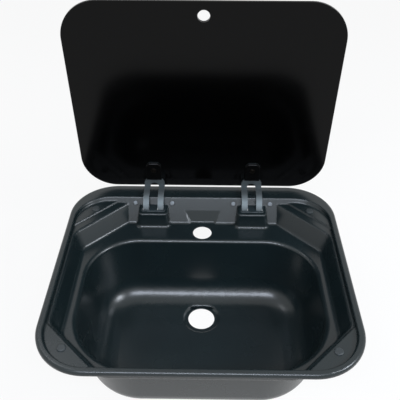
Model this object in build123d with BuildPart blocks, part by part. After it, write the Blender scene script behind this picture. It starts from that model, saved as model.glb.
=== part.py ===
"""Inset camper van sink: a pressed steel bowl with a hinged lid of tempered glass.

Frame: millimetres, +Z up, +X to the right, +Y to the back of the sink, where the lid is hinged.
The origin is the middle of the rim, at the level of the worktop that the rim rests on.
The lid is modelled standing open. It closes by turning about +X, top edge towards -Y.
"""

from build123d import *
import os
from math import atan2, cos, degrees, radians, sin, sqrt, tan

# ---------------------------------------------------------------- driving dimensions
sheet = 1.0  # steel with its coating

rim_width, rim_depth, rim_corner = 420.0, 370.0, 72.0
rim_top = 6.5  # the turned-down rim stands this high on the worktop
rim_round = 4.5
lip_round = 1.6  # rounded edge round the opening

open_side, open_front, open_back = 200.0, -176.0, 152.5
open_front_corner, open_back_corner = 62.0, 52.0

# depths below the top of the rim
pad_drop, ledge_drop, boss_drop, deck_drop, floor_drop = 6.0, 8.0, 10.0, 35.0, 140.0
ledge_level = rim_top - ledge_drop
deck_level = rim_top - deck_drop
floor_level = rim_top - floor_drop
boss_level = rim_top - boss_drop
pad_level = rim_top - pad_drop

# the upper well is an eight-sided tray: its outline at the ledge and at the deck.
# A corner cut is the sum of the distances in X and Y at which the slanting side runs.
ledge_side, deck_side = 196.0, 185.0
ledge_front, deck_front = -172.0, -168.0
deck_back = 127.0
ledge_rear_cut, deck_rear_cut = 268.0, 248.0
ledge_front_cut, deck_front_cut = 299.0, 290.0
pad_rear_cut, pad_front_cut = 287.0, 304.0
ledge_corner, deck_corner = 24.0, 18.0
pad_round, ledge_round, deck_round = 1.2, 3.0, 5.0

bowl_side, bowl_front, bowl_back = 172.0, -155.0, 85.0
bowl_front_corner, bowl_back_corner = 92.0, 75.0
bowl_draft, bowl_cove, bowl_round = 8.0, 38.0, 6.0

drain_y, drain_radius = 18.0, 21.0
dish_radius, dish_drop, dish_wall = 30.0, 2.5, 4.0
tap_y, tap_radius = 105.5, 15.0
# the trough that makes room behind the tap: half widths on the wall at its foot and its top
trough_foot, trough_head = 21.0, 31.0
trough_depth, trough_drop, trough_round = 3.0, 15.0, 4.0

hinge_x = 80.0  # each hinge, either side of the middle
boss_top_width, boss_foot_width, boss_corner, boss_round = 46.0, 53.0, 6.0, 2.3
boss_front_top, boss_front_foot = 120.5, 118.0

lid_width, lid_depth, lid_thick, lid_corner = 391.0, 312.0, 5.0, 54.5
lid_arris = 0.8  # ground edge of the glass
finger_radius, finger_inset = 8.5, 20.0
clamp_hole = 4.0  # radius of the glass's two holes for the clamping screws
opening_angle = 87.0

# underside of the glass, at its hinge edge: standing open, and closed on its buffers
open_y, open_z = 177.0, rim_top + 6.0
closed_y, closed_z = -172.0 + lid_depth, rim_top - 4.0

pin_radius, running_gap = 3.0, 0.05
leg_width, leg_thick, leg_inner = 9.5, 3.6, 7.0  # leg_inner: half the gap between the two legs
bush_wall, bush_flange = 1.2, 1.0
washer_thick = 0.7
cheek_thick, strip_thick = 2.0, 2.0

gasket_thick, plate_thick, tongue_thick, cover_thick = 0.8, 3.0, 2.0, 4.0
clamp_height = rim_top + 40.0  # the lid's clamping screw
cover_top = rim_top + 54.0
plate_top = rim_top + 20.5

bumper_x, bumper_rear_y, bumper_front_y = 172.0, 127.5, -145.0
bumper_radius, bumper_stem = 6.25, 2.4
bumper_clear = 0.3

# ---------------------------------------------------------------- worked out from them
wall_slope = (open_back - deck_back) / deck_drop  # the back wall leans back this much per mm
ledge_back = open_back - wall_slope * ledge_drop
wall_lean = degrees(atan2(wall_slope, 1))

# The hinge pin is the one point that carries the closed glass edge to the open one.
shift_y, shift_z = open_y - closed_y, open_z - closed_z
reach = 0.5 / tan(radians(opening_angle / 2))
pin_y = (open_y + closed_y) / 2 + shift_z * reach
pin_z = (open_z + closed_z) / 2 - shift_y * reach
lid_lean = opening_angle - 90.0

leg_outer = leg_inner + leg_width
washer_face = leg_outer + bush_flange + bumper_clear
cheek_face = washer_face + washer_thick
sides = (("left", -hinge_x), ("right", hinge_x))

# the standing glass: X across, Y up the glass, +Z out of its underside, towards the bowl
glass_plane = Plane(
    origin=(0, open_y, open_z),
    x_dir=(1, 0, 0),
    z_dir=(0, -cos(radians(lid_lean)), sin(radians(lid_lean))),
)
# the back wall: X across, Y down the wall's inner face from the rim, +Z into the bowl
wall_plane = Plane(
    origin=(0, open_back, rim_top),
    x_dir=(-1, 0, 0),
    z_dir=(0, -cos(radians(wall_lean)), sin(radians(wall_lean))),
)


def up_glass(height):
    """Distance up the glass from its hinge edge to a height above the worktop."""
    return (height - open_z) / cos(radians(lid_lean))


def save(piece, name):
    """Label a finished piece and write it."""
    piece.label = name
    export_step(piece, f"parts/{name}.step")


os.makedirs("parts", exist_ok=True)


# ---------------------------------------------------------------- pressed steel sink
def sideways(grow, run, drop):
    """How far a drafted wall stands outwards on the far side of the sheet."""
    lean = atan2(run, drop)
    return grow * (1 - sin(lean)) / cos(lean)


def opening_outline(grow, back):
    """The opening in the rim, with larger corners at the front."""
    side, front = open_side + grow, open_front - grow
    radii = [radius + grow for radius in (open_front_corner, open_back_corner)]
    with BuildSketch() as outline:
        with BuildLine():
            FilletPolyline(
                (side, front), (side, back), (-side, back), (-side, front),
                radius=(radii[0], radii[1], radii[1], radii[0]), close=True,
            )
        make_face()
    return outline.sketch


def tray_outline(side, back, front, rear_cut, front_cut, corner):
    """The eight-sided outline of the upper well. Its two corners at the back wall stay crisp."""
    half = [
        (front_cut + front, front),
        (side, side - front_cut),
        (side, rear_cut - side),
        (rear_cut - back, back),
    ]
    with BuildSketch() as outline:
        with BuildLine():
            Polyline(*half, *[(-x, y) for x, y in reversed(half)], close=True)
        make_face()
        fillet([v for v in outline.vertices() if v.Y < back - 1], corner)
    return outline.sketch


def beyond_cut(cut, rear):
    """The two corner areas that lie outside a slanting side."""
    far = 240.0
    way = 1 if rear else -1
    with BuildSketch() as corners:
        for side in (-1, 1):
            with BuildLine():
                Polyline(
                    (side * (cut - far), way * far), (side * far, way * (cut - far)),
                    (side * far, way * far), close=True,
                )
            make_face()
    return corners.sketch


def bowl_outline(grow):
    """The bowl's mouth in the deck."""
    side, front, back = bowl_side + grow, bowl_front - grow, bowl_back + grow
    wide, tight = bowl_front_corner + grow, bowl_back_corner + grow
    with BuildSketch() as outline:
        with BuildLine():
            FilletPolyline(
                (side, front), (side, back), (-side, back), (-side, front),
                radius=(wide, tight, tight, wide), close=True,
            )
        make_face()
    return outline.sketch


def tap_trough(grow):
    """The trough in the back wall: deepest at its foot, running out towards the rim.

    Its outer form starts within the sheet, and its inner form in front of it.
    """
    deck = deck_level - grow
    head = rim_top - trough_drop
    inner = grow == 0
    wall_foot = deck_back + sideways(grow, wall_slope, 1)
    wall_head = wall_foot + wall_slope * (head - deck)
    before = trough_depth if inner else sheet / 2
    with BuildPart() as trough:
        for level, wall, half, depth in (
            (deck, wall_foot, trough_foot + grow, trough_depth),
            (head, wall_head, trough_head + grow, -trough_depth / 8),
        ):
            front, back = (half + before, wall - before), (half - depth, wall + depth)
            with BuildSketch(Plane.XY.offset(level)):
                with BuildLine():
                    Polyline(front, back, (-back[0], back[1]), (-front[0], front[1]), close=True)
                make_face()
        loft(ruled=True)
        if inner:
            foot = [e for e in trough.edges().group_by(Axis.Z)[0] if e.center().Y > wall_foot + 1]
            fillet(foot, trough_round)
    return trough.part


def pressed_space(grow, over):
    """The space that the sheet encloses, from its inner face (grow 0) or its outer face (grow sheet).

    The inner face has every bend rounded. The outer one keeps only the large rounds.
    """
    ledge, deck = ledge_level - grow, deck_level - grow
    floor, boss = floor_level - grow, boss_level - grow
    drop = deck_drop - ledge_drop
    inner = grow == 0
    back_out = sideways(grow, wall_slope, 1)
    side_out = sideways(grow, ledge_side - deck_side, drop)
    front_out = sideways(grow, deck_front - ledge_front, drop)
    rear_cut_out = sqrt(2) * sideways(grow, (ledge_rear_cut - deck_rear_cut) / sqrt(2), drop)
    front_cut_out = sqrt(2) * sideways(grow, (ledge_front_cut - deck_front_cut) / sqrt(2), drop)
    with BuildPart() as hollow:
        # opening in the rim, down to the ledge
        with BuildSketch(Plane.XY.offset(ledge)):
            add(opening_outline(grow, ledge_back + back_out))
        with BuildSketch(Plane.XY.offset(rim_top - grow)):
            add(opening_outline(grow, open_back + back_out))
        loft(ruled=True)
        extrude(hollow.faces().sort_by(Axis.Z)[-1], amount=grow + over)
        # raised pads in the four corners
        with BuildSketch(Plane.XY.offset(ledge)):
            add(beyond_cut(pad_rear_cut + sqrt(2) * grow, rear=True))
            add(beyond_cut(pad_front_cut + sqrt(2) * grow, rear=False))
        extrude(amount=ledge_drop - pad_drop, mode=Mode.SUBTRACT)
        # the eight-sided tray down to the deck
        with BuildSketch(Plane.XY.offset(ledge)):
            add(tray_outline(
                ledge_side + side_out, ledge_back + back_out, ledge_front - front_out,
                ledge_rear_cut + rear_cut_out, ledge_front_cut + front_cut_out, ledge_corner + grow,
            ))
        with BuildSketch(Plane.XY.offset(deck)):
            add(tray_outline(
                deck_side + side_out, deck_back + back_out, deck_front - front_out,
                deck_rear_cut + rear_cut_out, deck_front_cut + front_cut_out, deck_corner + grow,
            ))
        loft(ruled=True)
        # a boss for each hinge, pressed up out of the deck and the back wall
        behind = open_back + 30
        for _, x in sides:
            for level, front, width in (
                (deck, boss_front_foot, boss_foot_width), (boss, boss_front_top, boss_top_width),
            ):
                length = behind - front
                with BuildSketch(Plane.XY.offset(level)):
                    with Locations((x, (behind + front) / 2 + grow)):
                        RectangleRounded(width - 2 * grow, length, boss_corner - grow)
            loft(ruled=True, mode=Mode.SUBTRACT)
        if inner:
            pad_edges = [
                e for e in hollow.edges().filter_by(GeomType.LINE)
                if abs(e.center().Z - pad_level) < 0.1 and abs(e.center().X) > 130
            ]
            fillet(pad_edges, pad_round)
            boss_edges = [
                e for e in hollow.edges() if abs(e.center().Z - boss) < 0.1 and e.center().Y < 143
            ]
            fillet(boss_edges, boss_round)
            fillet([e for e in hollow.edges() if abs(e.center().Z - deck) < 0.1], deck_round)
        # the bowl
        with BuildSketch(Plane.XY.offset(deck)):
            add(bowl_outline(sideways(grow, tan(radians(bowl_draft)), 1)))
        extrude(amount=floor - deck, taper=bowl_draft)
        fillet([e for e in hollow.edges() if abs(e.center().Z - floor) < 0.1], bowl_cove + grow)
        mouth = [
            e for e in hollow.edges()
            if abs(e.center().Z - deck) < 0.1
            and abs(e.center().X) < bowl_side + 2
            and bowl_front - 2 < e.center().Y < bowl_back + 2
        ]
        fillet(mouth, bowl_round - grow)
        if inner:
            slants = [
                e for e in hollow.edges().filter_by(GeomType.LINE)
                if abs(e.center().Z - ledge) < 0.1 and e.center().Y > 60
                and 135 < abs(e.center().X) and abs(e.center().X) + e.center().Y < 275
            ]
            fillet(slants, ledge_round)
        # shallow dish round the drain
        with Locations((0, drain_y, floor - dish_drop / 2)):
            Cone(dish_radius - dish_wall + grow, dish_radius + grow, dish_drop)
    return hollow.part


with BuildPart() as rim_hollow:
    with BuildSketch():
        RectangleRounded(rim_width - 2 * sheet, rim_depth - 2 * sheet, rim_corner - sheet)
    extrude(amount=rim_top - sheet)
    chamfer(rim_hollow.edges().group_by(Axis.Z)[-1], rim_round - sheet)

outer_space = pressed_space(sheet, over=0)
inner_space = pressed_space(0, over=3)

screw_drop = ledge_drop * sqrt(1 + wall_slope**2)  # down the wall from the rim
screw_offset = 30.0
screw_hole, screw_radius = 2.3, 2.0
insert_width, insert_front, insert_back = 40.0, 127.4, 145.1
insert_rim, insert_corner = 1.0, 4.0
insert_depth, insert_y = insert_back - insert_front, (insert_front + insert_back) / 2
window_width, window_depth = insert_width - 2 * insert_rim, insert_depth - 2 * insert_rim
window_corner = insert_corner - insert_rim
stem_hole = 2.5

with BuildPart() as sink_shell:
    with BuildSketch():
        RectangleRounded(rim_width, rim_depth, rim_corner)
    extrude(amount=rim_top)
    fillet(sink_shell.edges().group_by(Axis.Z)[-1], rim_round)
    add(rim_hollow.part, mode=Mode.SUBTRACT)
    add(outer_space)
    add(inner_space, mode=Mode.SUBTRACT)
    opening_edge = [
        e for e in sink_shell.edges()
        if abs(e.center().Z - rim_top) < 0.01
        and abs(e.center().X) < open_side + 1
        and open_front - 1 < e.center().Y < open_back + 1
        and abs(e.center().X) + abs(e.center().Y) < 343
    ]
    fillet(opening_edge, lip_round)
    add(tap_trough(sheet))
    add(tap_trough(0), mode=Mode.SUBTRACT)
    # drain hole and tap hole
    with Locations((0, drain_y, floor_level - dish_drop)):
        Cylinder(drain_radius, 10 * sheet, mode=Mode.SUBTRACT)
    with Locations((0, tap_y, deck_level)):
        Cylinder(tap_radius, 10 * sheet, mode=Mode.SUBTRACT)
    # a window in the top of each boss, for the hinge's slotted insert
    with BuildSketch(Plane.XY.offset(boss_level - 2 * sheet)):
        for _, x in sides:
            with Locations((x, insert_y)):
                RectangleRounded(window_width, window_depth, window_corner)
    extrude(amount=4 * sheet, mode=Mode.SUBTRACT)
    # screw holes for the hinge brackets
    with BuildSketch(wall_plane):
        for _, x in sides:
            with Locations((-x - screw_offset, screw_drop), (-x + screw_offset, screw_drop)):
                Circle(screw_hole)
    extrude(amount=4 * sheet, both=True, mode=Mode.SUBTRACT)
    # holes for the stems of the lid's buffers
    with BuildSketch(Plane.XY.offset(ledge_level - 2 * sheet)):
        for x in (-bumper_x, bumper_x):
            with Locations((x, bumper_rear_y), (x, bumper_front_y)):
                Circle(stem_hole)
    extrude(amount=6 * sheet, mode=Mode.SUBTRACT)
save(sink_shell.part, "sink_shell")

# soft strip under the rim, which seals it to the worktop
seal_inset, seal_width = 4.5, 2.5
with BuildPart() as rim_seal:
    with BuildSketch():
        for inset, way in ((seal_inset, Mode.ADD), (seal_inset + seal_width, Mode.SUBTRACT)):
            RectangleRounded(rim_width - 2 * inset, rim_depth - 2 * inset, rim_corner - inset, mode=way)
    extrude(amount=rim_top - sheet)
save(rim_seal.part, "rim_seal")

# ---------------------------------------------------------------- buffers under the glass
bumper_top = closed_z - bumper_clear
stem_length, stem_barb = 5.0, 0.9
bumper_spots = {
    "rear_left": (-bumper_x, bumper_rear_y),
    "rear_right": (bumper_x, bumper_rear_y),
    "front_left": (-bumper_x, bumper_front_y),
    "front_right": (bumper_x, bumper_front_y),
}
for corner, (x, y) in bumper_spots.items():
    with BuildPart() as bumper:
        with BuildSketch(Plane.XZ):
            with BuildLine():
                Polyline(
                    (0, bumper_top), (bumper_radius - 1.8, bumper_top),
                    (bumper_radius - 0.4, bumper_top - 0.6), (bumper_radius, pad_level),
                    (bumper_stem, pad_level), (bumper_stem, pad_level - sheet),
                    (bumper_stem + stem_barb, pad_level - sheet),
                    (bumper_stem - stem_barb, pad_level - stem_length),
                    (0, pad_level - stem_length), close=True,
                )
            make_face()
        revolve(axis=Axis.Z)
    save(bumper.part.moved(Location((x, y, 0))), f"lid_bumper_{corner}")

# ---------------------------------------------------------------- slotted insert in each boss
insert_plate, insert_chamfer, insert_skirt, skirt_gap = 0.8, 0.3, 2.0, 0.15
slot_front, slot_back, slot_width, slot_corner = 130.5, 143.1, leg_width + 1.5, 1.5
leg_middle = leg_inner + leg_width / 2
for side, x in sides:
    with BuildPart() as insert:
        with BuildSketch(Plane.XY.offset(boss_level)):
            with Locations((x, insert_y)):
                RectangleRounded(insert_width, insert_depth, insert_corner)
        extrude(amount=insert_plate)
        chamfer(insert.edges().group_by(Axis.Z)[-1], insert_chamfer)
        with BuildSketch(Plane.XY.offset(boss_level)):
            with Locations((x, insert_y)):
                RectangleRounded(window_width - 2 * skirt_gap, window_depth - 2 * skirt_gap, window_corner)
        extrude(amount=-insert_skirt)
        with BuildSketch(Plane.XY.offset(boss_level - insert_skirt)):
            slot_y = (slot_front + slot_back) / 2
            with Locations((x - leg_middle, slot_y), (x + leg_middle, slot_y)):
                RectangleRounded(slot_width, slot_back - slot_front, slot_corner)
        extrude(amount=insert_skirt + insert_plate, mode=Mode.SUBTRACT)
    save(insert.part, f"hinge_insert_{side}")

# ---------------------------------------------------------------- glass lid
clamp_y = up_glass(clamp_height)  # the clamping screws, measured up the glass
with BuildPart() as glass_lid:
    with BuildSketch(glass_plane):
        with Locations((0, lid_depth / 2)):
            RectangleRounded(lid_width, lid_depth, lid_corner)
    extrude(amount=-lid_thick)
    chamfer(glass_lid.faces().filter_by(glass_plane).edges(), lid_arris)
    with BuildSketch(glass_plane):
        with Locations((0, lid_depth - finger_inset)):
            Circle(finger_radius)
        with Locations((-hinge_x, clamp_y), (hinge_x, clamp_y)):
            Circle(clamp_hole)
    extrude(amount=-lid_thick, mode=Mode.SUBTRACT)
save(glass_lid.part, "glass_lid")

# ---------------------------------------------------------------- hinge arms
# Each arm is a U of two gooseneck legs. From its eye on the pin a leg runs forwards inside the
# boss, comes up through the insert's slot, arches over the rim and ends in the plate on the glass.
neck_radius, neck_back, neck_down = 27.0, 5.0, 2.0
neck_y, neck_z = pin_y - neck_back, pin_z - neck_down
neck_front = neck_y - neck_radius - leg_thick / 2
eye_radius, link_height = 7.5, 6.0
bush_radius, flange_width = pin_radius + running_gap + bush_wall, 1.5
tongue_width, tongue_lap, tongue_round = 14.0, 2.0, 1.5
clamp_shank, clamp_clear = 2.5, 2.75
plate_half_top, plate_round = 13.8, 2.0
cover_half, cover_slant, cover_round, cover_chamfer = 12.0, 5.0, 1.5, 0.8

# heights on the arm, measured up the glass from its hinge edge
plate_foot = up_glass(neck_z + neck_radius - leg_thick / 2)
shoulder_y, notch_y = up_glass(rim_top + 14.5), up_glass(rim_top + 14.2)
plate_top_y, cover_top_y = up_glass(plate_top), up_glass(cover_top)
tongue_top_y = clamp_y + tongue_width / 2


def plate_outline(x, foot):
    """The plate of one arm, in the plane of the glass: shoulders above, a notch below."""
    with BuildSketch() as outline:
        with BuildLine():
            Polyline(
                (x - leg_outer, foot), (x - leg_outer, shoulder_y), (x - plate_half_top, plate_top_y),
                (x + plate_half_top, plate_top_y), (x + leg_outer, shoulder_y), (x + leg_outer, foot),
                close=True,
            )
        make_face()
        fillet(outline.vertices().group_by(Axis.Y)[1:], plate_round)
        with Locations((x, notch_y - leg_inner)):
            Circle(leg_inner, mode=Mode.SUBTRACT)
        with Locations((x, foot)):
            Rectangle(2 * leg_inner, 2 * (notch_y - leg_inner - foot), mode=Mode.SUBTRACT)
    return outline.sketch


def cover_outline(x, foot):
    """The cover over one arm's tongue, with slanting top corners."""
    with BuildSketch() as outline:
        with BuildLine():
            Polyline(
                (x - cover_half, foot), (x - cover_half, cover_top_y - cover_slant),
                (x - cover_half + cover_slant, cover_top_y), (x + cover_half - cover_slant, cover_top_y),
                (x + cover_half, cover_top_y - cover_slant), (x + cover_half, foot), close=True,
            )
        make_face()
        fillet(outline.vertices().group_by(Axis.Y)[1:], cover_round)
    return outline.sketch


def disc(plane, x, y, radius, amount, mode=Mode.ADD):
    """Add or cut a round piece of the part being made."""
    with BuildSketch(plane) as spot:
        with Locations((x, y)):
            Circle(radius)
    extrude(spot.sketch, amount=amount, mode=mode)


head_radius, head_height, seat_gap = 4.2, 1.6, 0.3
flange_radius, flange_thick, sleeve_gap = 8.0, 1.0, 0.05
screw_seat = gasket_thick + cover_thick - head_height
tongue_space = 0.2
for side, x in sides:
    with BuildPart() as arm:
        for leg_start in (x - leg_outer, x + leg_inner):
            with BuildSketch(Plane.YZ.offset(leg_start)):
                with BuildLine():
                    Line(
                        (open_y - gasket_thick - plate_thick / 2, neck_z + neck_radius),
                        (neck_y, neck_z + neck_radius),
                    )
                    CenterArc((neck_y, neck_z), neck_radius, 90, 90)
                trace(line_width=leg_thick)
                with Locations(((neck_front + pin_y) / 2, neck_z)):
                    Rectangle(pin_y - neck_front, link_height)
                with Locations((pin_y, pin_z)):
                    Circle(eye_radius)
                    Circle(bush_radius, mode=Mode.SUBTRACT)
            extrude(amount=leg_width)
        with BuildSketch(glass_plane.offset(gasket_thick)):
            add(plate_outline(x, plate_foot))
        extrude(amount=plate_thick)
        with BuildSketch(glass_plane.offset(gasket_thick)):
            with Locations((x, (plate_top_y - tongue_lap + tongue_top_y) / 2)):
                RectangleRounded(tongue_width, tongue_top_y - plate_top_y + tongue_lap, tongue_round)
        extrude(amount=tongue_thick)
        disc(glass_plane.offset(gasket_thick), x, clamp_y, clamp_clear, tongue_thick, Mode.SUBTRACT)
    save(arm.part, f"hinge_arm_{side}")

    # flanged bush in each eye
    with BuildPart() as bushes:
        for way in (-1, 1):
            disc(Plane.YZ.offset(x + way * leg_inner), pin_y, pin_z, bush_radius, way * leg_width)
            flange_plane = Plane.YZ.offset(x + way * leg_outer)
            disc(flange_plane, pin_y, pin_z, bush_radius + flange_width, way * bush_flange)
        bore_plane = Plane.YZ.offset(x)
        disc(bore_plane, pin_y, pin_z, pin_radius + running_gap, 2 * leg_outer, Mode.SUBTRACT)
        disc(bore_plane, pin_y, pin_z, pin_radius + running_gap, -2 * leg_outer, Mode.SUBTRACT)
    save(bushes.part, f"hinge_bushes_{side}")

    # rubber pad between the arm and the glass
    with BuildPart() as gasket:
        with BuildSketch(glass_plane):
            add(plate_outline(x, lid_arris))
            with Locations((x, 0)):
                add(cover_outline(0, plate_top_y - tongue_lap))
        extrude(amount=gasket_thick)
        disc(glass_plane, x, clamp_y, clamp_clear, gasket_thick, Mode.SUBTRACT)
    save(gasket.part, f"glass_gasket_{side}")

    # cover over the arm's tongue, with a seat for the screw's head
    with BuildPart() as cover:
        with BuildSketch(glass_plane.offset(gasket_thick)):
            add(cover_outline(x, plate_top_y + tongue_space))
        extrude(amount=cover_thick)
        chamfer(cover.faces().sort_by(Axis.Y)[0].outer_wire().edges(), cover_chamfer)
        with BuildSketch(glass_plane.offset(gasket_thick)):
            with Locations((x, (plate_top_y + tongue_top_y) / 2)):
                Rectangle(tongue_width + 2 * tongue_space, tongue_top_y - plate_top_y + 2 * tongue_space)
        extrude(amount=tongue_thick, mode=Mode.SUBTRACT)
        disc(glass_plane, x, clamp_y, clamp_clear, 2 * cover_thick, Mode.SUBTRACT)
        disc(glass_plane.offset(screw_seat), x, clamp_y, head_radius + seat_gap, head_height, Mode.SUBTRACT)
    save(cover.part, f"arm_cover_{side}")

    # flanged bush that keeps the clamping screw off the glass
    with BuildPart() as clamp_bush:
        disc(glass_plane.offset(-lid_thick), x, clamp_y, flange_radius, -flange_thick)
        disc(glass_plane.offset(-lid_thick), x, clamp_y, clamp_hole - sleeve_gap, lid_thick)
        hole_plane = glass_plane.offset(-lid_thick - flange_thick)
        disc(hole_plane, x, clamp_y, clamp_shank + running_gap, lid_thick + flange_thick, Mode.SUBTRACT)
    save(clamp_bush.part, f"clamp_bush_{side}")

# the two clamping screws and, on the outside of the glass, their domed nuts
nut_seat = -lid_thick - flange_thick
nut_radius, hex_height, dome_radius, dome_height, dome_taper = 5.5, 3.0, 4.6, 2.5, 25.0
nut_thread = 3.5
with BuildPart() as clamp_screws:
    for _, x in sides:
        disc(glass_plane.offset(screw_seat), x, clamp_y, head_radius, head_height - tongue_space)
        disc(glass_plane.offset(screw_seat), x, clamp_y, clamp_shank, nut_seat - nut_thread - screw_seat)
save(clamp_screws.part, "clamp_screws")

with BuildPart() as cap_nuts:
    for _, x in sides:
        with BuildSketch(glass_plane.offset(nut_seat)):
            with Locations((x, clamp_y)):
                RegularPolygon(nut_radius, 6)
        extrude(amount=-hex_height)
        with BuildSketch(glass_plane.offset(nut_seat - hex_height)):
            with Locations((x, clamp_y)):
                Circle(dome_radius)
        extrude(amount=-dome_height, taper=dome_taper)
        disc(glass_plane.offset(nut_seat), x, clamp_y, clamp_shank, -nut_thread, Mode.SUBTRACT)
save(cap_nuts.part, "cap_nuts")

# ---------------------------------------------------------------- hinge brackets behind the wall
strip_top, strip_bottom, strip_half, strip_corner = 4.5, 15.0, 36.0, 4.0
cheek_radius, cheek_inset = 8.0, 1.0
stop_depth, stop_height = 6.0, 4.0
clip_groove, clip_radius, clip_thick, clip_mouth = 2.4, 5.2, 0.8, 4.2
pin_head, pin_head_thick, pin_tail = 5.0, 1.5, 3.0
strip_back = sheet + strip_thick
pin_end = cheek_face + cheek_thick
for side, x in sides:
    with BuildPart() as bracket:
        with BuildSketch(wall_plane.offset(-sheet)):
            with Locations((-x, (strip_top + strip_bottom) / 2)):
                RectangleRounded(2 * strip_half, strip_bottom - strip_top, strip_corner)
            with Locations((-x - screw_offset, screw_drop), (-x + screw_offset, screw_drop)):
                Circle(screw_hole, mode=Mode.SUBTRACT)
        extrude(amount=-strip_thick)
        middle = -sheet - strip_thick / 2
        top_corner = wall_plane.from_local_coords((0, strip_top + cheek_inset, middle))
        low_corner = wall_plane.from_local_coords((0, strip_bottom - cheek_inset, middle))
        for start in (x - pin_end, x + cheek_face):
            with BuildSketch(Plane.YZ.offset(start)):
                with BuildLine():
                    Line((top_corner.Y, top_corner.Z), (low_corner.Y, low_corner.Z))
                    CenterArc((pin_y, pin_z), cheek_radius, 0, 360)
                make_hull()
                with Locations((pin_y, pin_z)):
                    Circle(pin_radius + running_gap, mode=Mode.SUBTRACT)
            extrude(amount=cheek_thick)
        # stop bar: the arm's links come up against it when the lid stands open
        with BuildSketch(Plane.YZ.offset(x - cheek_face)):
            stop_level = neck_z + link_height / 2 + bumper_clear
            with Locations((low_corner.Y + stop_depth / 2, stop_level + stop_height / 2)):
                Rectangle(stop_depth, stop_height)
        extrude(amount=2 * cheek_face)
    save(bracket.part, f"hinge_bracket_{side}")

    with BuildPart() as pin:
        disc(Plane.YZ.offset(x - pin_end), pin_y, pin_z, pin_head, -pin_head_thick)
        disc(Plane.YZ.offset(x - pin_end), pin_y, pin_z, pin_radius, 2 * pin_end)
        disc(Plane.YZ.offset(x + pin_end), pin_y, pin_z, clip_groove, clip_thick)
        disc(Plane.YZ.offset(x + pin_end + clip_thick), pin_y, pin_z, pin_radius, pin_tail - clip_thick)
    save(pin.part, f"hinge_pin_{side}")

    with BuildPart() as clip:
        with BuildSketch(Plane.YZ.offset(x + pin_end)):
            with Locations((pin_y, pin_z)):
                Circle(clip_radius)
                Circle(clip_groove, mode=Mode.SUBTRACT)
            with Locations((pin_y, pin_z - clip_radius)):
                Rectangle(clip_mouth, 2 * clip_radius, mode=Mode.SUBTRACT)
        extrude(amount=clip_thick)
    save(clip.part, f"pin_clip_{side}")

    with BuildPart() as washers:
        for way in (-1, 1):
            face = Plane.YZ.offset(x + way * washer_face)
            disc(face, pin_y, pin_z, bush_radius + flange_width, way * washer_thick)
            disc(face, pin_y, pin_z, pin_radius + running_gap, way * washer_thick, Mode.SUBTRACT)
    save(washers.part, f"friction_washers_{side}")

# the screws that hold the brackets to the wall, and their nuts
wall_spots = [(-x + way * screw_offset, screw_drop) for _, x in sides for way in (-1, 1)]
screw_head, screw_head_height, screw_head_chamfer, screw_length = 3.8, 2.2, 0.8, 9.0
bolt_nut_radius, bolt_nut_height = 4.0, 3.2
with BuildPart() as bracket_screws:
    with BuildSketch(wall_plane):
        with Locations(*wall_spots):
            Circle(screw_head)
    extrude(amount=screw_head_height)
    head_tops = bracket_screws.faces().filter_by(wall_plane).group_by(Axis.Z)[-1]
    chamfer(head_tops.edges(), screw_head_chamfer)
    with BuildSketch(wall_plane):
        with Locations(*wall_spots):
            Circle(screw_radius)
    extrude(amount=-screw_length)
save(bracket_screws.part, "bracket_screws")

with BuildPart() as bracket_nuts:
    with BuildSketch(wall_plane.offset(-strip_back)):
        with Locations(*wall_spots):
            RegularPolygon(bolt_nut_radius, 6)
            Circle(screw_radius, mode=Mode.SUBTRACT)
    extrude(amount=-bolt_nut_height)
save(bracket_nuts.part, "bracket_nuts")
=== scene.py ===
"""Looks of an inset camper van sink: a black enamelled bowl with a hinged lid of black glass.

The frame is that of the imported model: +Z up, +Y to the hinged back edge, and the origin in the middle
of the rim at the level of the worktop. Its lengths are metres. The sizes of pieces are written in
millimetres, which MM turns to metres.
"""

import logging
import math
from dataclasses import dataclass
from enum import Enum

import bpy
from mathutils import Matrix, Vector


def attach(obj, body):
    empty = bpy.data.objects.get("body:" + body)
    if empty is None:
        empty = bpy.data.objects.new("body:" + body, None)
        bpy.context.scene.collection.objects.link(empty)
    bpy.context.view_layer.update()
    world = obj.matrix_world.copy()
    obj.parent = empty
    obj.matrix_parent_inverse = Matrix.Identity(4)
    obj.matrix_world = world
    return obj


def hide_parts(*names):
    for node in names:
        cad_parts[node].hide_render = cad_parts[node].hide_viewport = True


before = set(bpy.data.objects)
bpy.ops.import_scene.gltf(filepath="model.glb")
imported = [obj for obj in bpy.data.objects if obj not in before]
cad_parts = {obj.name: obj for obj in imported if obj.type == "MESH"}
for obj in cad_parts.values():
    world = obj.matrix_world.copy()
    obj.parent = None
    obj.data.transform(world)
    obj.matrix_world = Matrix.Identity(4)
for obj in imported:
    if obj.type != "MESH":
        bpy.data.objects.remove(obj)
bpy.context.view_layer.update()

MM = 0.001
LOG = logging.getLogger("sink")

# Sockets that share their name with another one of the same node, so that a number finds them.
SECOND_VALUE, SECOND_SHADER = 1, 2
MIX_FIRST, MIX_SECOND, MIX_RESULT = 6, 7, 2

# Finer layers in the noise of a finish's patches and of its grain.
PATCH_DETAIL, GRAIN_DETAIL = 3.0, 2.0
# Rays that look for an edge which a coat has rounded.
ROUNDING_RAYS = 8
WHITE = "ffffff"

Shaded = bpy.types.Material | bpy.types.World


# ---------------------------------------------------------------- colour and shader nodes
def linear(hex_colour: str) -> tuple[float, float, float, float]:
    """Turn an sRGB hex colour to linear light.

    Args:
        hex_colour: Six hex digits, such as "1a1b1d".

    Returns:
        Linear red, green and blue, and an alpha of 1.
    """
    parts = [int(hex_colour[i:i + 2], 16) / 255 for i in (0, 2, 4)]
    light = [c / 12.92 if c <= 0.04045 else ((c + 0.055) / 1.055) ** 2.4 for c in parts]
    return (*light, 1.0)


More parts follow.
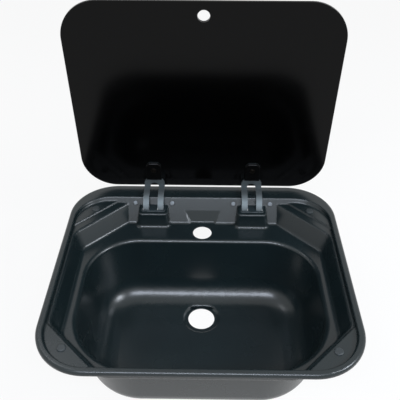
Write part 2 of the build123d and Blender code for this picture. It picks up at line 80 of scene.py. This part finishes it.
def add_node(owner: Shaded, kind: str, settings: dict | None = None,
             **links: bpy.types.NodeSocket) -> bpy.types.Node:
    """Add a shader node with its settings and links.

    Args:
        owner: The material, or the world, whose tree takes the node.
        kind: The node's type, such as "ShaderNodeTexNoise".
        settings: Attributes by name, and socket values by the socket's name.
        **links: Output sockets, by the input's name with spaces as underscores.

    Returns:
        The new node.
    """
    tree = owner.node_tree
    node = tree.nodes.new(kind)
    for name, value in (settings or {}).items():
        if name in node.inputs:
            node.inputs[name].default_value = value
        else:
            setattr(node, name, value)
    for name, output in links.items():
        tree.links.new(output, node.inputs[name.replace("_", " ")])
    return node


def blend(owner: Shaded, share: bpy.types.NodeSocket, first: bpy.types.Node,
          second: bpy.types.Node) -> bpy.types.NodeSocket:
    """Mix two shaders.

    Args:
        owner: The material, or the world, whose tree takes the node.
        share: Socket with the second shader's share, from 0 to 1.
        first: The shader where the share is 0.
        second: The shader where the share is 1.

    Returns:
        The socket with the mixed shader.
    """
    mix = add_node(owner, "ShaderNodeMixShader", Fac=share, Shader=first.outputs[0])
    owner.node_tree.links.new(second.outputs[0], mix.inputs[SECOND_SHADER])
    return mix.outputs["Shader"]


def seen_rays(owner: Shaded) -> bpy.types.NodeSocket:
    """Pick the rays that show the background: to the camera, off gloss and through glass.

    Args:
        owner: The material, or the world, that asks.

    Returns:
        A socket that is 1 for those rays and 0 for the light that falls on the sink.
    """
    path = add_node(owner, "ShaderNodeLightPath")
    picked = path.outputs["Is Camera Ray"]
    for name in ("Is Glossy Ray", "Is Transmission Ray"):
        either = add_node(owner, "ShaderNodeMath", {"operation": "MAXIMUM"}, Value=picked)
        owner.node_tree.links.new(path.outputs[name], either.inputs[SECOND_VALUE])
        picked = either.outputs["Value"]
    return picked


def blank_material(name: str) -> bpy.types.Material:
    """Make a material with an empty node tree.

    Args:
        name: What the finish is called.

    Returns:
        The material.
    """
    material = bpy.data.materials.new(name)
    material.use_nodes = True
    material.node_tree.nodes.clear()
    return material


class Grain(Enum):
    """How a finish's grain runs: how many times finer it is along X, Y and Z."""

    EVEN = (1.0, 1.0, 1.0)
    UPRIGHT = (12.0, 12.0, 1.0)


@dataclass(frozen=True)
class Finish:
    """A surface finish: a principled shader with a fine relief and slight changes of gloss.

    Attributes:
        name: The real finish.
        colour: sRGB hex colour.
        other: Second sRGB hex colour, which the first drifts to in patches.
        patch_mm: Size of those patches.
        roughness: Mean roughness.
        gloss_change: How far the roughness wanders either side of the mean.
        metallic: 1 for bare metal.
        specular: Specular level.
        grain_mm: Size of the relief's grain.
        relief_mm: Height of the relief.
        grain: How the grain runs.
        flow_mm: How far a coat that flows rounds over an edge.
    """

    name: str
    colour: str
    other: str
    patch_mm: float
    roughness: float
    gloss_change: float
    metallic: float = 0.0
    specular: float = 0.5
    grain_mm: float = 0.8
    relief_mm: float = 0.01
    grain: Grain = Grain.EVEN
    flow_mm: float = 0.0

    def build(self) -> bpy.types.Material:
        """Build the material's nodes.

        Returns:
            The finished material.
        """
        material = blank_material(self.name)
        place = add_node(material, "ShaderNodeTexCoord").outputs["Object"]
        drawn = add_node(material, "ShaderNodeMapping", {"Scale": self.grain.value}, Vector=place)
        patches = add_node(material, "ShaderNodeTexNoise",
                           {"Scale": 1 / (self.patch_mm * MM), "Detail": PATCH_DETAIL}, Vector=place)
        grain = add_node(material, "ShaderNodeTexNoise",
                         {"Scale": 1 / (self.grain_mm * MM), "Detail": GRAIN_DETAIL},
                         Vector=drawn.outputs["Vector"])
        colour = add_node(material, "ShaderNodeMix", {"data_type": "RGBA"}, Factor=patches.outputs["Fac"])
        colour.inputs[MIX_FIRST].default_value = linear(self.colour)
        colour.inputs[MIX_SECOND].default_value = linear(self.other)
        low, high = self.roughness - self.gloss_change, self.roughness + self.gloss_change
        gloss = add_node(material, "ShaderNodeMapRange", {"To Min": low, "To Max": high},
                         Value=patches.outputs["Fac"])
        relief = add_node(material, "ShaderNodeBump",
                          {"Strength": 1.0, "Distance": self.relief_mm * MM}, Height=grain.outputs["Fac"])
        if self.flow_mm:
            rounded = add_node(material, "ShaderNodeBevel",
                               {"samples": ROUNDING_RAYS, "Radius": self.flow_mm * MM})
            material.node_tree.links.new(rounded.outputs["Normal"], relief.inputs["Normal"])
        shader = add_node(material, "ShaderNodeBsdfPrincipled",
                          {"Metallic": self.metallic, "Specular IOR Level": self.specular},
                          Base_Color=colour.outputs[MIX_RESULT], Roughness=gloss.outputs["Result"],
                          Normal=relief.outputs["Normal"])
        add_node(material, "ShaderNodeOutputMaterial", Surface=shader.outputs["BSDF"])
        return material


# Stove enamel on pressed steel: a smooth black film that leans to teal, with faint orange peel.
STOVE_ENAMEL = Finish("black_stove_enamel", "10191b", "152022", 60, 0.27, 0.03,
                      specular=0.48, grain_mm=2.4, relief_mm=0.003, flow_mm=2.5)
# Tempered glass, black right through: deep and flat, and its surface mirrors only faintly.
BLACK_GLASS = Finish("polished_black_tempered_glass", "010101", "020202", 90, 0.14, 0.02,
                     specular=0.13, grain_mm=40, relief_mm=0.004)
# Bare stainless strip, brushed along its length: a satin grey with a fine upright grain.
SATIN_STAINLESS = Finish("satin_stainless_strip", "5c6467", "6d7477", 12, 0.62, 0.05, metallic=1.0,
                         grain_mm=1.2, relief_mm=0.004, grain=Grain.UPRIGHT)
# Zinc-plated steel with a clear passivate: small screws, pins and nuts of a dark satin grey.
SATIN_ZINC = Finish("satin_zinc_plated_steel", "53575a", "63676a", 3, 0.42, 0.05, metallic=1.0,
                    grain_mm=0.5, relief_mm=0.002)
# Blackened steel, oiled: the clamping screws, a dark warm grey.
BLACK_OXIDE = Finish("black_oxide_steel", "2c2926", "39352f", 3, 0.34, 0.05, metallic=1.0,
                     grain_mm=0.5, relief_mm=0.002)
# Zinc-plated pressings and nuts, never polished: paler than the screws, duller and slightly cloudy.
DULL_ZINC = Finish("dull_zinc_plated_steel", "8d9195", "9fa3a6", 8, 0.5, 0.07, metallic=1.0,
                   grain_mm=0.7, relief_mm=0.004)
# Glass-filled nylon, black: an even satin skin with a fine spark-eroded texture.
BLACK_MOULDING = Finish("black_moulded_nylon", "1b2427", "222c2f", 10, 0.36, 0.04, grain_mm=0.35,
                        relief_mm=0.006)
# The same nylon from a smoother tool, jet black to match the glass behind it.
GLOSSY_MOULDING = Finish("glossy_black_moulded_nylon", "020202", "040404", 10, 0.3, 0.04,
                         specular=0.1, grain_mm=0.35, relief_mm=0.003)
# Moulded rubber: black, nearly dull, with a slight bloom.
BLACK_RUBBER = Finish("black_moulded_rubber", "1f2527", "293032", 5, 0.5, 0.06,
                      grain_mm=0.4, relief_mm=0.015)
# Natural nylon: milky and waxy.
NATURAL_NYLON = Finish("natural_nylon", "d9d7cd", "e2e0d6", 6, 0.38, 0.04, grain_mm=0.5, relief_mm=0.004)
# Closed-cell foam strip: dark grey, dry, with a coarse skin of small cells.
CELL_FOAM = Finish("closed_cell_foam", "232425", "343536", 4, 0.9, 0.04, specular=0.2, grain_mm=0.6,
                   relief_mm=0.12)

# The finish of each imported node, by how its name starts.
NODE_FINISHES = {
    "sink_shell": STOVE_ENAMEL,
    "rim_seal": CELL_FOAM,
    "lid_bumper": BLACK_RUBBER,
    "hinge_insert": BLACK_MOULDING,
    "glass_lid": BLACK_GLASS,
    "hinge_arm": SATIN_STAINLESS,
    "hinge_bushes": NATURAL_NYLON,
    "friction_washers": NATURAL_NYLON,
    "glass_gasket": BLACK_RUBBER,
    "arm_cover": GLOSSY_MOULDING,
    "clamp_bush": NATURAL_NYLON,
    "clamp_screws": BLACK_OXIDE,
    "cap_nuts": SATIN_ZINC,
    "hinge_bracket": DULL_ZINC,
    "hinge_pin": SATIN_ZINC,
    "pin_clip": DULL_ZINC,
    "bracket_screws": SATIN_ZINC,
    "bracket_nuts": DULL_ZINC,
}


class Dressing:
    """Gives each piece its finish."""

    def __init__(self) -> None:
        """Start with no material built."""
        self.built: dict[str, bpy.types.Material] = {}

    def material(self, finish: Finish) -> bpy.types.Material:
        """Build a finish's material once.

        Args:
            finish: The finish.

        Returns:
            Its material.
        """
        if finish.name not in self.built:
            self.built[finish.name] = finish.build()
        return self.built[finish.name]

    def dress(self, piece: bpy.types.Object, finish: Finish) -> None:
        """Put a finish on a piece.

        Args:
            piece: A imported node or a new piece.
            finish: Its finish.
        """
        piece.data.materials.clear()
        piece.data.materials.append(self.material(finish))

    def dress_nodes(self) -> None:
        """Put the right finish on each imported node."""
        for name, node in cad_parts.items():
            finish = next(f for start, f in NODE_FINISHES.items() if name.startswith(start))
            self.dress(node, finish)
            LOG.info("%s: %s", name, finish.name)


# ---------------------------------------------------------------- screws with a cross recess
# Sides of a screw's round head, steps in its rounded edge, and the crease that stays sharp.
HEAD_SIDES, EDGE_STEPS, SMOOTH_ANGLE = 40, 4, math.radians(35)
# Two faces lie at one level when their heights differ by less than this, in millimetres.
SAME_LEVEL = 1e-4
# The cross recess: length and width as shares of the head's radius, depth as a share of its height.
RECESS_LENGTH, RECESS_WIDTH, RECESS_DEPTH = 1.1, 0.24, 0.6
# Where the cross of each screw in a set came to rest, in degrees.
HOME_TURNS = (12, 57, 31, 74)


def tilted_plane(point: tuple[float, float], lean: float) -> Matrix:
    """Stand a plane that faces the bowl: X to the right, Y up the plane, +Z towards the bowl.

    Args:
        point: Y and Z of the plane's origin, in millimetres.
        lean: How far the plane leans back, in degrees.

    Returns:
        The matrix from the plane's own millimetres to the frame's metres.
    """
    turn = math.radians(lean)
    across = Vector((1, 0, 0))
    up = Vector((0, math.sin(turn), math.cos(turn)))
    out = across.cross(up)
    axes = Matrix((across, up, out)).transposed().to_4x4()
    return Matrix.Translation(Vector((0, *point)) * MM) @ axes @ Matrix.Scale(MM, 4)


def select_only(*pieces: bpy.types.Object) -> None:
    """Select these pieces and no other.

    Args:
        *pieces: The pieces, the one to be active first.
    """
    bpy.ops.object.select_all(action="DESELECT")
    for piece in pieces:
        piece.select_set(True)
    bpy.context.view_layer.objects.active = pieces[0]


@dataclass
class CrossHeadScrews:
    """A set of like pan-head screws, driven into one face.

    Attributes:
        name: The set's name.
        stands_for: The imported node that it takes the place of.
        body: The body that it rides on.
        face: The plane under the heads, as tilted_plane gives it.
        spots: X and Y of each screw on that plane, in millimetres.
        finish: The screws' finish.
        head_radius: Radius of the head, in millimetres, as are the sizes below.
        head_height: Height of the head.
        edge: Radius of the head's rounded edge.
        shank_radius: Radius of the shank.
        shank_length: Length of the shank.
    """

    name: str
    stands_for: str
    body: str
    face: Matrix
    spots: list[tuple[float, float]]
    finish: Finish
    head_radius: float
    head_height: float
    edge: float
    shank_radius: float
    shank_length: float

    def pick_end(self, screw: bpy.types.Object, top: bool) -> None:
        """Select the flat end of the screw in edit mode.

        Args:
            screw: The screw, which is the active object, in edit mode.
            top: True for the head's top, False for the lowest end.
        """
        bpy.ops.mesh.select_all(action="DESELECT")
        bpy.ops.object.mode_set(mode="OBJECT")
        faces = screw.data.polygons
        level = (max if top else min)(f.center.z for f in faces)
        for face in faces:
            face.select = abs(face.center.z - level) < SAME_LEVEL
        bpy.ops.object.mode_set(mode="EDIT")

    def cutter(self) -> bpy.types.Object:
        """Make the cross that cuts the recess.

        Returns:
            Two crossed straight blades, as one object.
        """
        length = RECESS_LENGTH * self.head_radius
        width = RECESS_WIDTH * self.head_radius
        height = 2 * RECESS_DEPTH * self.head_height  # half of it stands clear of the head
        blades = []
        for size in ((length, width, height), (width, length, height)):
            bpy.ops.mesh.primitive_cube_add(size=1, location=(0, 0, self.head_height))
            blade = bpy.context.object
            blade.scale = size
            bpy.ops.object.transform_apply(location=True, rotation=False, scale=True)
            blades.append(blade)
        select_only(*blades)
        bpy.ops.object.join()
        return bpy.context.object

    def model(self) -> bpy.types.Object:
        """Model one screw, its head's seat at the origin, in millimetres.

        Returns:
            The screw.
        """
        bpy.ops.mesh.primitive_cylinder_add(vertices=HEAD_SIDES, radius=self.head_radius,
                                            depth=self.head_height, location=(0, 0, self.head_height / 2))
        screw = bpy.context.object
        bpy.ops.object.transform_apply(location=True, rotation=False, scale=False)
        bpy.ops.object.mode_set(mode="EDIT")
        bpy.ops.mesh.select_mode(type="FACE")
        self.pick_end(screw, top=True)
        bpy.ops.mesh.bevel(offset=self.edge, segments=EDGE_STEPS, affect="EDGES")
        self.pick_end(screw, top=False)
        bpy.ops.mesh.inset(thickness=self.head_radius - self.shank_radius)
        bpy.ops.mesh.extrude_region_move(TRANSFORM_OT_translate={"value": (0, 0, -self.shank_length)})
        bpy.ops.object.mode_set(mode="OBJECT")

        cross = self.cutter()
        select_only(screw)
        recess = screw.modifiers.new("recess", "BOOLEAN")
        recess.operation = "DIFFERENCE"
        recess.solver = "EXACT"
        recess.use_self = True
        recess.object = cross
        bpy.ops.object.modifier_apply(modifier=recess.name)
        bpy.data.objects.remove(cross)
        bpy.ops.object.shade_smooth_by_angle(angle=SMOOTH_ANGLE)
        return screw

    def build(self, dressing: Dressing) -> bpy.types.Object:
        """Model the set and put it in place.

        Args:
            dressing: Gives the finish.

        Returns:
            The set, as one piece.
        """
        first = self.model()
        screws = [first]
        for _ in self.spots[1:]:
            copy = first.copy()
            copy.data = first.data.copy()
            bpy.context.scene.collection.objects.link(copy)
            screws.append(copy)
        for screw, (x, y), turn in zip(screws, self.spots, HOME_TURNS):
            driven = Matrix.Rotation(math.radians(turn), 4, "Z")
            screw.data.transform(self.face @ Matrix.Translation((x, y, 0)) @ driven)
        select_only(*screws)
        bpy.ops.object.join()
        first.name = self.name
        dressing.dress(first, self.finish)
        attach(first, self.body)
        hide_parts(self.stands_for)
        LOG.info("%s: %d screws", self.name, len(self.spots))
        return first


def all_screws() -> list[CrossHeadScrews]:
    """Lay out the screws of both hinges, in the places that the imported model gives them.

    Returns:
        The bracket screws in the back wall and the clamping screws in the lid.
    """
    rim_top, ledge_drop, deck_drop = 6.5, 8.0, 35.0
    open_back, deck_back = 152.5, 127.0
    hinge_x, screw_offset = 80.0, 30.0
    wall_lean = math.degrees(math.atan2(open_back - deck_back, deck_drop))
    screw_drop = ledge_drop / math.cos(math.radians(wall_lean))
    wall_spots = [(hinge + side * screw_offset, -screw_drop)
                  for hinge in (-hinge_x, hinge_x) for side in (-1, 1)]
    bracket_screws = CrossHeadScrews(
        "bracket_cross_screws", "bracket_screws", "sink",
        tilted_plane((open_back, rim_top), wall_lean), wall_spots, SATIN_ZINC,
        head_radius=3.8, head_height=2.1, edge=0.9, shank_radius=2.0, shank_length=9.0)

    # The open lid stops three degrees short of upright. The screws sit sunk in the arms' covers.
    glass_foot, lid_lean = (177.0, rim_top + 6.0), -3.0
    clamp_height = rim_top + 40.0
    gasket_thick, cover_thick, seat_depth = 0.8, 4.0, 1.6
    screw_seat = gasket_thick + cover_thick - seat_depth
    seat_plane = tilted_plane(glass_foot, lid_lean) @ Matrix.Translation((0, 0, screw_seat))
    clamp_y = (clamp_height - glass_foot[1]) / math.cos(math.radians(lid_lean))
    clamping_screws = CrossHeadScrews(
        "clamping_cross_screws", "clamp_screws", "lid",
        seat_plane, [(-hinge_x, clamp_y), (hinge_x, clamp_y)], BLACK_OXIDE,
        head_radius=4.2, head_height=1.4, edge=0.6, shank_radius=2.5, shank_length=12.7)
    return [bracket_screws, clamping_screws]


# ---------------------------------------------------------------- studio
@dataclass(frozen=True)
class Softbox:
    """A soft lamp, turned to the sink.

    Attributes:
        name: The lamp's name.
        place: Where it hangs, in metres.
        size: Its width and length, in metres.
        power: Its power in watts.
        colour: Its sRGB hex colour.
    """

    name: str
    place: tuple[float, float, float]
    size: tuple[float, float]
    power: float
    colour: str

    def hang(self) -> None:
        """Hang the lamp in its place."""
        data = bpy.data.lights.new(self.name, "AREA")
        data.shape = "RECTANGLE"
        data.size, data.size_y = self.size
        data.energy = self.power
        data.color = linear(self.colour)[:3]
        lamp = bpy.data.objects.new(self.name, data)
        bpy.context.scene.collection.objects.link(lamp)
        lamp.location = self.place
        lamp.rotation_euler = (-Vector(self.place)).to_track_quat("-Z", "Y").to_euler()


# A wide lamp high in front, a small one to the right and a weak one behind on the left.
SOFTBOXES = (
    Softbox("front_softbox", (0.0, -1.02, 1.29), (1.2, 0.26), 22, "e6efff"),
    Softbox("right_softbox", (1.15, -0.4, 0.9), (0.36, 0.36), 13, "eef5ff"),
    Softbox("rear_softbox", (-0.75, 0.45, 1.45), (0.6, 0.4), 3, "f4f8ff"),
)


@dataclass(frozen=True)
class Studio:
    """White floor, plain light from all round, soft lamps and the camera.

    Attributes:
        floor_level: Height of the floor, half a millimetre under the bowl, in metres.
        floor_size: Side of the floor, in metres.
        paper: The floor's sRGB hex colour.
        floor_lift: Share of plain white in the floor where it is seen. The rest keeps the shadow.
        sky: sRGB hex colour of the light from all round.
        sky_strength: Strength of that light.
        eye: The camera's place, in millimetres.
        yaw: Turn of the view to the right, in degrees.
        pitch: Tilt of the view downwards, in degrees.
        roll: Roll of the camera to the left, in degrees.
        frame_px: Side of the square frame, in pixels.
        focal_px: Focal length, in pixels of that frame.
        centre_px: Where the lens axis meets the frame, from its upper left corner.
        sensor_mm: Width of the camera's sensor.
    """

    floor_level: float = -137.5 * MM
    floor_size: float = 12.0
    paper: str = "e6e6e6"
    floor_lift: float = 0.9
    sky: str = "e8ecf0"
    sky_strength: float = 0.35
    eye: tuple[float, float, float] = (6.38, -578.74, 580.79)
    yaw: float = -0.708
    pitch: float = 38.907
    roll: float = 0.182
    frame_px: int = 400
    focal_px: float = 567.16
    centre_px: tuple[float, float] = (201.09, 205.09)
    sensor_mm: float = 36.0

    def camera(self) -> None:
        """Stand the camera where the photograph was taken."""
        yaw, pitch, roll = (math.radians(a) for a in (self.yaw, self.pitch, self.roll))
        ahead = Vector((math.sin(yaw) * math.cos(pitch), math.cos(yaw) * math.cos(pitch), -math.sin(pitch)))
        level_right = ahead.cross(Vector((0, 0, 1))).normalized()
        level_up = level_right.cross(ahead)
        right = level_right * math.cos(roll) + level_up * math.sin(roll)
        up = level_up * math.cos(roll) - level_right * math.sin(roll)

        data = bpy.data.cameras.new("photo_camera")
        data.sensor_width = self.sensor_mm
        data.lens = self.focal_px / self.frame_px * self.sensor_mm
        data.shift_x = (self.frame_px / 2 - self.centre_px[0]) / self.frame_px
        data.shift_y = (self.centre_px[1] - self.frame_px / 2) / self.frame_px
        data.clip_start = 0.01
        data.clip_end = 20
        camera = bpy.data.objects.new("photo_camera", data)
        bpy.context.scene.collection.objects.link(camera)
        turn = Matrix((right, up, -ahead)).transposed()
        camera.matrix_world = Matrix.Translation(Vector(self.eye) * MM) @ turn.to_4x4()
        bpy.context.scene.camera = camera

    def floor(self) -> None:
        """Lay a white floor that keeps the sink's soft shadow."""
        bpy.ops.mesh.primitive_plane_add(size=self.floor_size, location=(0, 0, self.floor_level))
        floor = bpy.context.object
        floor.name = "studio_floor"
        material = blank_material("white_paper_floor")
        paper = add_node(material, "ShaderNodeBsdfDiffuse", {"Color": linear(self.paper)})
        white = add_node(material, "ShaderNodeEmission", {"Color": linear(WHITE), "Strength": 1.0})
        lift = add_node(material, "ShaderNodeMath", {"operation": "MULTIPLY"}, Value=seen_rays(material))
        lift.inputs[SECOND_VALUE].default_value = self.floor_lift
        surface = blend(material, lift.outputs["Value"], paper, white)
        add_node(material, "ShaderNodeOutputMaterial", Surface=surface)
        floor.data.materials.append(material)

    def world(self) -> None:
        """Surround the sink with plain light, and with white where it is seen."""
        world = bpy.data.worlds.new("studio_world")
        bpy.context.scene.world = world
        world.use_nodes = True
        world.node_tree.nodes.clear()
        soft = add_node(world, "ShaderNodeBackground",
                        {"Color": linear(self.sky), "Strength": self.sky_strength})
        white = add_node(world, "ShaderNodeBackground", {"Color": linear(WHITE), "Strength": 1.0})
        surface = blend(world, seen_rays(world), soft, white)
        add_node(world, "ShaderNodeOutputWorld", Surface=surface)

    def set_up(self) -> None:
        """Build the whole studio."""
        bpy.context.scene.view_settings.view_transform = "Standard"
        self.camera()
        self.floor()
        self.world()
        for softbox in SOFTBOXES:
            softbox.hang()


def main() -> None:
    """Build the studio and dress the sink."""
    logging.basicConfig(level=logging.INFO, format="%(message)s")
    Studio().set_up()
    dressing = Dressing()
    dressing.dress_nodes()
    for screws in all_screws():
        screws.build(dressing)


if __name__ == "__main__":
    main()
